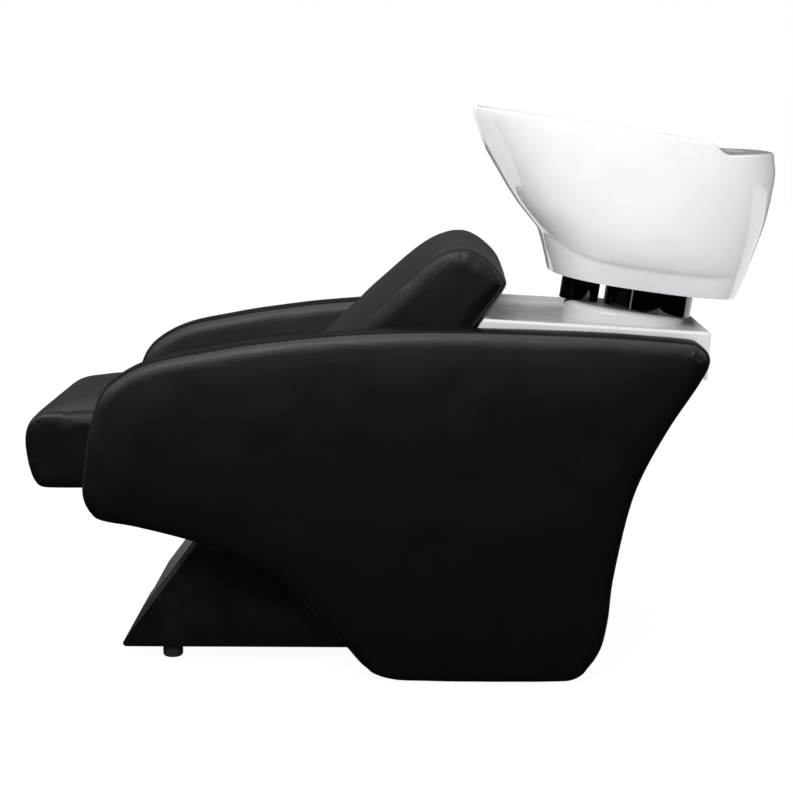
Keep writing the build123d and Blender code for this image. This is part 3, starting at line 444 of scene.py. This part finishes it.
def sewn_pad(corners, steps, profile, seam_row, cheek_step, lift, ease=None):
    """A boxed pad: its band, its seam and one cheek, then the same mirrored across the middle."""
    line = smooth_outline(corners, steps)
    turns = outward_turns(line)
    count = len(line)
    across = [0.0]
    for a, b in zip(profile, profile[1:]):
        across.append(across[-1] + hypot(b[0] - a[0], b[1] - a[1]))
    bm = bmesh.new()
    step_layer = bm.verts.layers.int.new("step")
    row_layer = bm.verts.layers.int.new("row")
    seam_layer = bm.verts.layers.float_vector.new("seam")

    def set_row(verts, row, half, offset):
        for vert in verts:
            index = vert[step_layer]
            out_x, out_z, path, radius = turns[index]
            shift = offset * (ease(line[index]) if ease else 1)
            shift = max(shift, -0.75 * radius)
            x, z = line[index]
            vert.co = (x + out_x * shift, half, z + out_z * shift)
            vert[row_layer] = row
            vert[seam_layer] = (across[row] - across[seam_row], path, 0)

    ring = [bm.verts.new((x, 0, z)) for x, z in line]
    for index, vert in enumerate(ring):
        vert[step_layer] = index
    edges = [bm.edges.new((ring[index], ring[(index + 1) % count])) for index in range(count)]
    set_row(ring, 0, *profile[0])
    for row in range(1, len(profile)):
        grown = bmesh.ops.extrude_edge_only(bm, edges=edges)["geom"]
        verts = [part for part in grown if isinstance(part, bmesh.types.BMVert)]
        edges = [part for part in grown if isinstance(part, bmesh.types.BMEdge)]
        set_row(verts, row, *profile[row])
    rim = sorted(verts, key=lambda vert: vert[step_layer])
    fill_cheek(bm, rim, cheek_step, lift, across[-1] - across[seam_row])
    everything = bm.verts[:] + bm.edges[:] + bm.faces[:]
    bmesh.ops.mirror(bm, geom=everything, axis="Y", merge_dist=0.0001)
    bmesh.ops.remove_doubles(bm, verts=bm.verts, dist=0.00005)
    bmesh.ops.dissolve_degenerate(bm, edges=bm.edges, dist=0.00005)
    bmesh.ops.recalc_face_normals(bm, faces=bm.faces)
    for face in bm.faces:
        face.smooth = True
    return bm


def finish_pad(name, bm, middle_y, body, replaced):
    """Makes the piece from its mesh, in its place, hangs it on its body and hides the parts it replaces."""
    bmesh.ops.translate(bm, verts=bm.verts, vec=(0, middle_y, 0))
    mesh = bpy.data.meshes.new(name)
    bm.to_mesh(mesh)
    bm.free()
    mesh.materials.append(leatherette)
    piece = bpy.data.objects.new(name, mesh)
    scene.collection.objects.link(piece)
    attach(piece, body)
    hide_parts(*replaced)
    return piece


puff_frames = 20


def swell(piece, pinned_rows, pressure, cap):
    """Puffs a pad by cloth under pressure, with its seams held, and keeps the result within a cap."""
    mesh = piece.data
    start = [vert.co.copy() for vert in mesh.vertices]
    rows = [item.value for item in mesh.attributes["row"].data]
    held = [index for index, row in enumerate(rows) if row in pinned_rows]
    group = piece.vertex_groups.new(name="sewn")
    group.add(held, 1.0, "REPLACE")
    cloth = piece.modifiers.new("puff", "CLOTH")
    cloth.settings.use_pressure = True
    cloth.settings.uniform_pressure_force = pressure
    cloth.settings.vertex_group_mass = "sewn"
    cloth.settings.tension_stiffness = 25
    cloth.settings.compression_stiffness = 25
    cloth.settings.effector_weights.gravity = 0
    cloth.point_cache.frame_start = 1
    cloth.point_cache.frame_end = puff_frames
    for step in range(1, puff_frames + 1):
        scene.frame_set(step)
    view_layer = bpy.context.evaluated_depsgraph_get()
    soft = piece.evaluated_get(view_layer).to_mesh()
    for vert, origin, after in zip(mesh.vertices, start, soft.vertices):
        move = after.co - origin
        limit = cap(origin)
        if move.length > limit:
            move = move * (limit / move.length)
        vert.co = origin + move
    piece.evaluated_get(view_layer).to_mesh_clear()
    piece.modifiers.remove(cloth)
    piece.vertex_groups.remove(group)
    scene.frame_set(1)


def relax_surface(piece, height, scale, seed):
    """Low waves of foam under the skin."""
    mesh = piece.data
    shift = Vector((seed, seed * 2, 0))
    for vert in mesh.vertices:
        wave = noise.noise(vert.co * scale + shift)
        vert.co += vert.normal * wave * height


def add_subdivision(piece, levels):
    finish = piece.modifiers.new("soften", "SUBSURF")
    finish.levels = levels
    finish.render_levels = levels


panel_front, panel_length, panel_height = -0.553, 1.072, 0.613
panel_middle_y = 0.276
panel_seam = 6
panel_shares = (
    (0.749, 0.003), (0.796, 0.014), (0.830, 0.081), (0.844, 0.173), (0.8535, 0.3116),
    (0.884, 0.540), (0.9347, 0.7204), (0.9846, 0.8548), (0.9991, 0.9168), (0.982, 0.9576),
    (0.954, 0.9706), (0.8237, 0.9869), (0.6978, 0.9951), (0.541, 1.0), (0.400, 0.9886),
    (0.2733, 0.9641), (0.1894, 0.9395), (0.1157, 0.9127), (0.0662, 0.8728), (0.0336, 0.8173),
    (0.0149, 0.7210), (0.0075, 0.6509), (0.0004, 0.538), (0.0150, 0.478), (0.0364, 0.4568),
    (0.0877, 0.4413), (0.180, 0.3997), (0.2537, 0.3442), (0.334, 0.2643), (0.3759, 0.1843),
    (0.4216, 0.1011), (0.4552, 0.0365), (0.4944, 0.0085), (0.5532, 0.003), (0.651, 0.002),
)
panel_profile = (
    (0.0, 0.0012), (0.007, 0.0012), (0.014, 0.0009), (0.0195, 0.0002), (0.0235, -0.0008),
    (0.0262, -0.0022), (0.0285, -0.0056), (0.0308, -0.0028), (0.0338, -0.0042), (0.0367, -0.0075),
    (0.0386, -0.0112), (0.0400, -0.0152), (0.0411, -0.0196), (0.0419, -0.0244),
)


def panel_ease(place):
    """The band is pressed flat where the panel stands on the floor."""
    return 0.3 if place[1] < 0.02 else 1.0


def make_side_panel(side, sign):
    """One upholstered side: two crowned faces and a puffed gusset between twin seams."""
    corners = [(panel_front + along * panel_length, up * panel_height) for along, up in panel_shares]
    bm = sewn_pad(corners, 6, panel_profile, panel_seam, 0.020, 0.0032, panel_ease)
    replaced = [side + "_outer_pad", side + "_inner_pad", side + "_gusset"]
    piece = finish_pad(side + "_side_upholstery", bm, sign * panel_middle_y, "chair", replaced)
    # The band faces take the less reflective copy, as painted shade.
    piece.data.materials.append(shaded_band_leatherette)
    rows = [item.value for item in piece.data.attributes["row"].data]
    for face in piece.data.polygons:
        if all(rows[corner] <= panel_seam for corner in face.vertices):
            face.material_index = 1
    relax_surface(piece, 0.0007, 14.0, 3.0 if sign > 0 else 8.0)
    add_subdivision(piece, 1)
    return piece


# The seat and the back have the same band: its seam row, and the rows held while it is puffed
cushion_seam = 15
cushion_held = {cushion_seam - 1, cushion_seam, cushion_seam + 1}
cushion_flat_y = 0.22
held_cap = 0.0015

seat_corners = (
    (-0.130, 0.324), (-0.100, 0.324), (-0.088, 0.327), (-0.081, 0.336), (-0.080, 0.350),
    (-0.080, 0.400), (-0.080, 0.436), (-0.082, 0.448), (-0.092, 0.4555), (-0.110, 0.4585),
    (-0.160, 0.4610), (-0.250, 0.4655), (-0.340, 0.4695), (-0.430, 0.4735), (-0.500, 0.4765),
    (-0.545, 0.4775), (-0.577, 0.4755), (-0.603, 0.4715), (-0.6220, 0.4670), (-0.6365, 0.4610),
    (-0.6485, 0.4525), (-0.6575, 0.4425), (-0.6635, 0.4300), (-0.6665, 0.4165), (-0.6672, 0.4020),
    (-0.6660, 0.3865), (-0.6635, 0.3690), (-0.6600, 0.3525), (-0.6545, 0.3380), (-0.6460, 0.3260),
    (-0.6340, 0.3205), (-0.6120, 0.3195), (-0.560, 0.3200), (-0.430, 0.324), (-0.320, 0.324),
    (-0.210, 0.324),
)
seat_profile = (
    (0.0, 0.0), (0.024, 0.0), (0.048, -0.0001), (0.072, -0.0004), (0.096, -0.0008),
    (0.118, -0.0014), (0.138, -0.0024), (0.156, -0.0036), (0.172, -0.0052), (0.186, -0.0072),
    (0.197, -0.0092), (0.205, -0.0110), (0.2105, -0.0126), (0.2142, -0.0140), (0.2170, -0.0157),
    (0.2190, -0.0162), (0.2210, -0.0178), (0.2232, -0.0215), (0.2246, -0.0265),
)


def seat_ease(place):
    """How far the seat's edge drops below its middle: least at the nose, most along the top."""
    x, z = place
    if z < 0.36:
        return 0.25
    if x < -0.60:
        return 0.22 + 0.8 * max(0.0, min(1.0, (x + 0.655) / 0.07))
    return 1.05


def seat_cap(place):
    """How far the seat may puff: hardly at its board and sides."""
    return held_cap if place.z < 0.345 or abs(place.y) > cushion_flat_y else 0.006


def make_seat():
    """The seat cushion, crowned across its width, with a twin seam along each side."""
    bm = sewn_pad(seat_corners, 3, seat_profile, cushion_seam, 0.012, 0.0008, seat_ease)
    piece = finish_pad("seat_upholstery", bm, 0.0, "chair", ["seat_cushion"])
    swell(piece, cushion_held, 4.0, seat_cap)
    relax_surface(piece, 0.0011, 12.0, 5.0)
    add_subdivision(piece, 1)
    return piece


back_corners = (
    (-0.2460, 0.4650), (-0.2180, 0.4915), (-0.1760, 0.5300), (-0.1330, 0.5690), (-0.0890, 0.6100),
    (-0.0640, 0.6355), (-0.0330, 0.6626), (-0.0020, 0.6906), (0.0287, 0.7180), (0.0534, 0.7355),
    (0.0780, 0.7455), (0.0965, 0.7480), (0.1150, 0.7456), (0.1367, 0.7340), (0.1550, 0.7170),
    (0.1660, 0.7045), (0.1735, 0.6930), (0.1765, 0.6840), (0.1735, 0.6755), (0.1640, 0.6610),
    (0.1500, 0.6420), (0.1300, 0.6150), (0.0950, 0.5670), (0.0600, 0.5195), (0.0280, 0.4760),
    (0.0200, 0.4640), (0.0100, 0.4560), (-0.0100, 0.4545), (-0.0800, 0.4575), (-0.1500, 0.4600),
    (-0.2150, 0.4625), (-0.2380, 0.4625),
)
back_profile = (
    (0.0, 0.0040), (0.024, 0.0040), (0.048, 0.0039), (0.072, 0.0038), (0.096, 0.0036),
    (0.118, 0.0033), (0.138, 0.0028), (0.156, 0.0022), (0.172, 0.0016), (0.186, 0.0010),
    (0.197, 0.0004), (0.205, -0.0002), (0.2105, -0.0009), (0.2145, -0.0019), (0.2172, -0.0034),
    (0.2192, -0.0040), (0.2210, -0.0054), (0.2232, -0.0088), (0.2246, -0.0135),
)


def back_cap(place):
    """How far the back may puff: hardly where it meets the seat and at its sides."""
    return held_cap if place.z < 0.49 or abs(place.y) > cushion_flat_y else 0.008


def make_back():
    """The back cushion, with a rolled head end and a twin seam along each side."""
    bm = sewn_pad(back_corners, 3, back_profile, cushion_seam, 0.012, 0.0008)
    piece = finish_pad("back_upholstery", bm, 0.0, "chair", ["back_cushion"])
    swell(piece, cushion_held, 6.0, back_cap)
    relax_surface(piece, 0.0011, 12.0, 9.0)
    add_subdivision(piece, 1)
    return piece


# Studio

def facing(place, target):
    """The turn that points a lamp or card from its place to its target."""
    return (Vector(target) - Vector(place)).to_track_quat("-Z", "Y").to_euler()


def light(name, place, target, width, height, power):
    data = bpy.data.lights.new(name, "AREA")
    data.shape = "RECTANGLE"
    data.size = width
    data.size_y = height
    data.energy = power
    lamp = bpy.data.objects.new(name, data)
    scene.collection.objects.link(lamp)
    lamp.location = place
    lamp.rotation_euler = facing(place, target)


def background_rays(tree):
    """1 for the rays that show the background: the camera's, and those of gloss and clear pieces."""
    path = new_node(tree, "ShaderNodeLightPath", (-900, 300))
    clear, shiny = path.outputs["Is Transmission Ray"], path.outputs["Is Glossy Ray"]
    mirrored = maths(tree, "MAXIMUM", (-700, 200), shiny, clear)
    return maths(tree, "MAXIMUM", (-550, 300), path.outputs["Is Camera Ray"], mirrored)


# How much of the floor is plain white to the background rays; the rest is lit and keeps the shadow
floor_glow_share = 0.86


def make_floor():
    """A plain pale floor that keeps a soft shadow under the white it shows the camera."""
    bm = bmesh.new()
    bmesh.ops.create_grid(bm, x_segments=1, y_segments=1, size=14.0)
    mesh = bpy.data.meshes.new("floor")
    bm.to_mesh(mesh)
    bm.free()
    floor = bpy.data.objects.new("floor", mesh)
    scene.collection.objects.link(floor)
    floor.location = (0, 0, -0.0005)
    material = bpy.data.materials.new("pale_floor")
    material.use_nodes = True
    tree = material.node_tree
    tree.nodes.clear()
    diffuse = new_node(tree, "ShaderNodeBsdfDiffuse", (-300, 100), Color=(0.9, 0.9, 0.9, 1))
    glow = new_node(tree, "ShaderNodeEmission", (-300, -100), Color=(1, 1, 1, 1), Strength=1.10)
    seen = maths(tree, "MULTIPLY", (-400, 300), background_rays(tree), floor_glow_share)
    mix = new_node(tree, "ShaderNodeMixShader", (0, 0))
    out = new_node(tree, "ShaderNodeOutputMaterial", (200, 0))
    tree.links.new(seen, mix.inputs[0])
    tree.links.new(diffuse.outputs[0], mix.inputs[1])
    tree.links.new(glow.outputs[0], mix.inputs[2])
    tree.links.new(mix.outputs[0], out.inputs["Surface"])
    mesh.materials.append(material)


def make_world():
    """White for the camera and for reflections, soft grey for the light it gives."""
    world = bpy.data.worlds.new("studio")
    world.use_nodes = True
    scene.world = world
    tree = world.node_tree
    tree.nodes.clear()
    seen = background_rays(tree)
    fill = new_node(tree, "ShaderNodeBackground", (-300, 0), Color=(0.97, 0.98, 1.0, 1), Strength=0.55)
    white = new_node(tree, "ShaderNodeBackground", (-300, -150), Color=(1, 1, 1, 1), Strength=1.0)
    mix = new_node(tree, "ShaderNodeMixShader", (0, 0))
    out = new_node(tree, "ShaderNodeOutputWorld", (200, 0))
    tree.links.new(seen, mix.inputs[0])
    tree.links.new(fill.outputs[0], mix.inputs[1])
    tree.links.new(white.outputs[0], mix.inputs[2])
    tree.links.new(mix.outputs[0], out.inputs["Surface"])


def make_flag(name, place, target, width, height, glow=0.0):
    """A black or grey card hidden from the camera, which only reflections see: painted dark reflection, or
    painted grey reflection where it glows.
    """
    bm = bmesh.new()
    bmesh.ops.create_grid(bm, x_segments=1, y_segments=1, size=0.5)
    bmesh.ops.scale(bm, vec=(width, height, 1), verts=bm.verts)
    mesh = bpy.data.meshes.new(name)
    bm.to_mesh(mesh)
    bm.free()
    card = bpy.data.objects.new(name, mesh)
    scene.collection.objects.link(card)
    card.location = place
    card.rotation_euler = facing(place, target)
    card.visible_camera = False
    card.visible_diffuse = False
    card.visible_shadow = False
    card.visible_transmission = False
    material = bpy.data.materials.new(name)
    material.use_nodes = True
    shader = material.node_tree.nodes["Principled BSDF"]
    shader.inputs["Base Color"].default_value = (0.004, 0.004, 0.004, 1)
    shader.inputs["Specular IOR Level"].default_value = 0.0
    shader.inputs["Emission Color"].default_value = (1, 1, 1, 1)
    shader.inputs["Emission Strength"].default_value = glow
    mesh.materials.append(material)


place_camera()
dress_nodes()
make_side_panel("left", -1)
make_side_panel("right", 1)
make_seat()
make_back()
make_floor()
make_world()
# Cards that only reflections see: painted dark reflections, over the white floor too, and a painted grey
# reflection from the rear card's glow.
make_flag("front_card", (0, -4.6, 1.0), (0, 0, 1.0), 9.4, 9.0)
make_flag("floor_card", (0, -1.8, 0.002), (0, -1.8, 1), 9.2, 5.6)
make_flag("head_card", (4.7, 1.0, 1.0), (0, 1.0, 1.0), 10.0, 5.2)
make_flag("feet_card", (-4.7, 1.0, 1.0), (0, 1.0, 1.0), 10.0, 5.2)
make_flag("rear_card", (0, 4.6, 1.4), (0, 0, 1.4), 9.4, 5.0, 0.1)
light("top_box", (-0.2, -0.2, 3.0), (0, 0, 0.5), 3.0, 1.8, 17)
light("front_box", (-1.1, -3.9, 3.0), (0, 0, 0.6), 2.8, 0.9, 99)
light("feet_box", (-3.2, -1.0, 1.9), (-0.3, 0, 0.5), 1.4, 1.4, 14)
light("head_box", (3.0, -1.6, 2.2), (0.4, 0, 0.8), 1.2, 1.2, 10)
scene.view_settings.view_transform = "Standard"
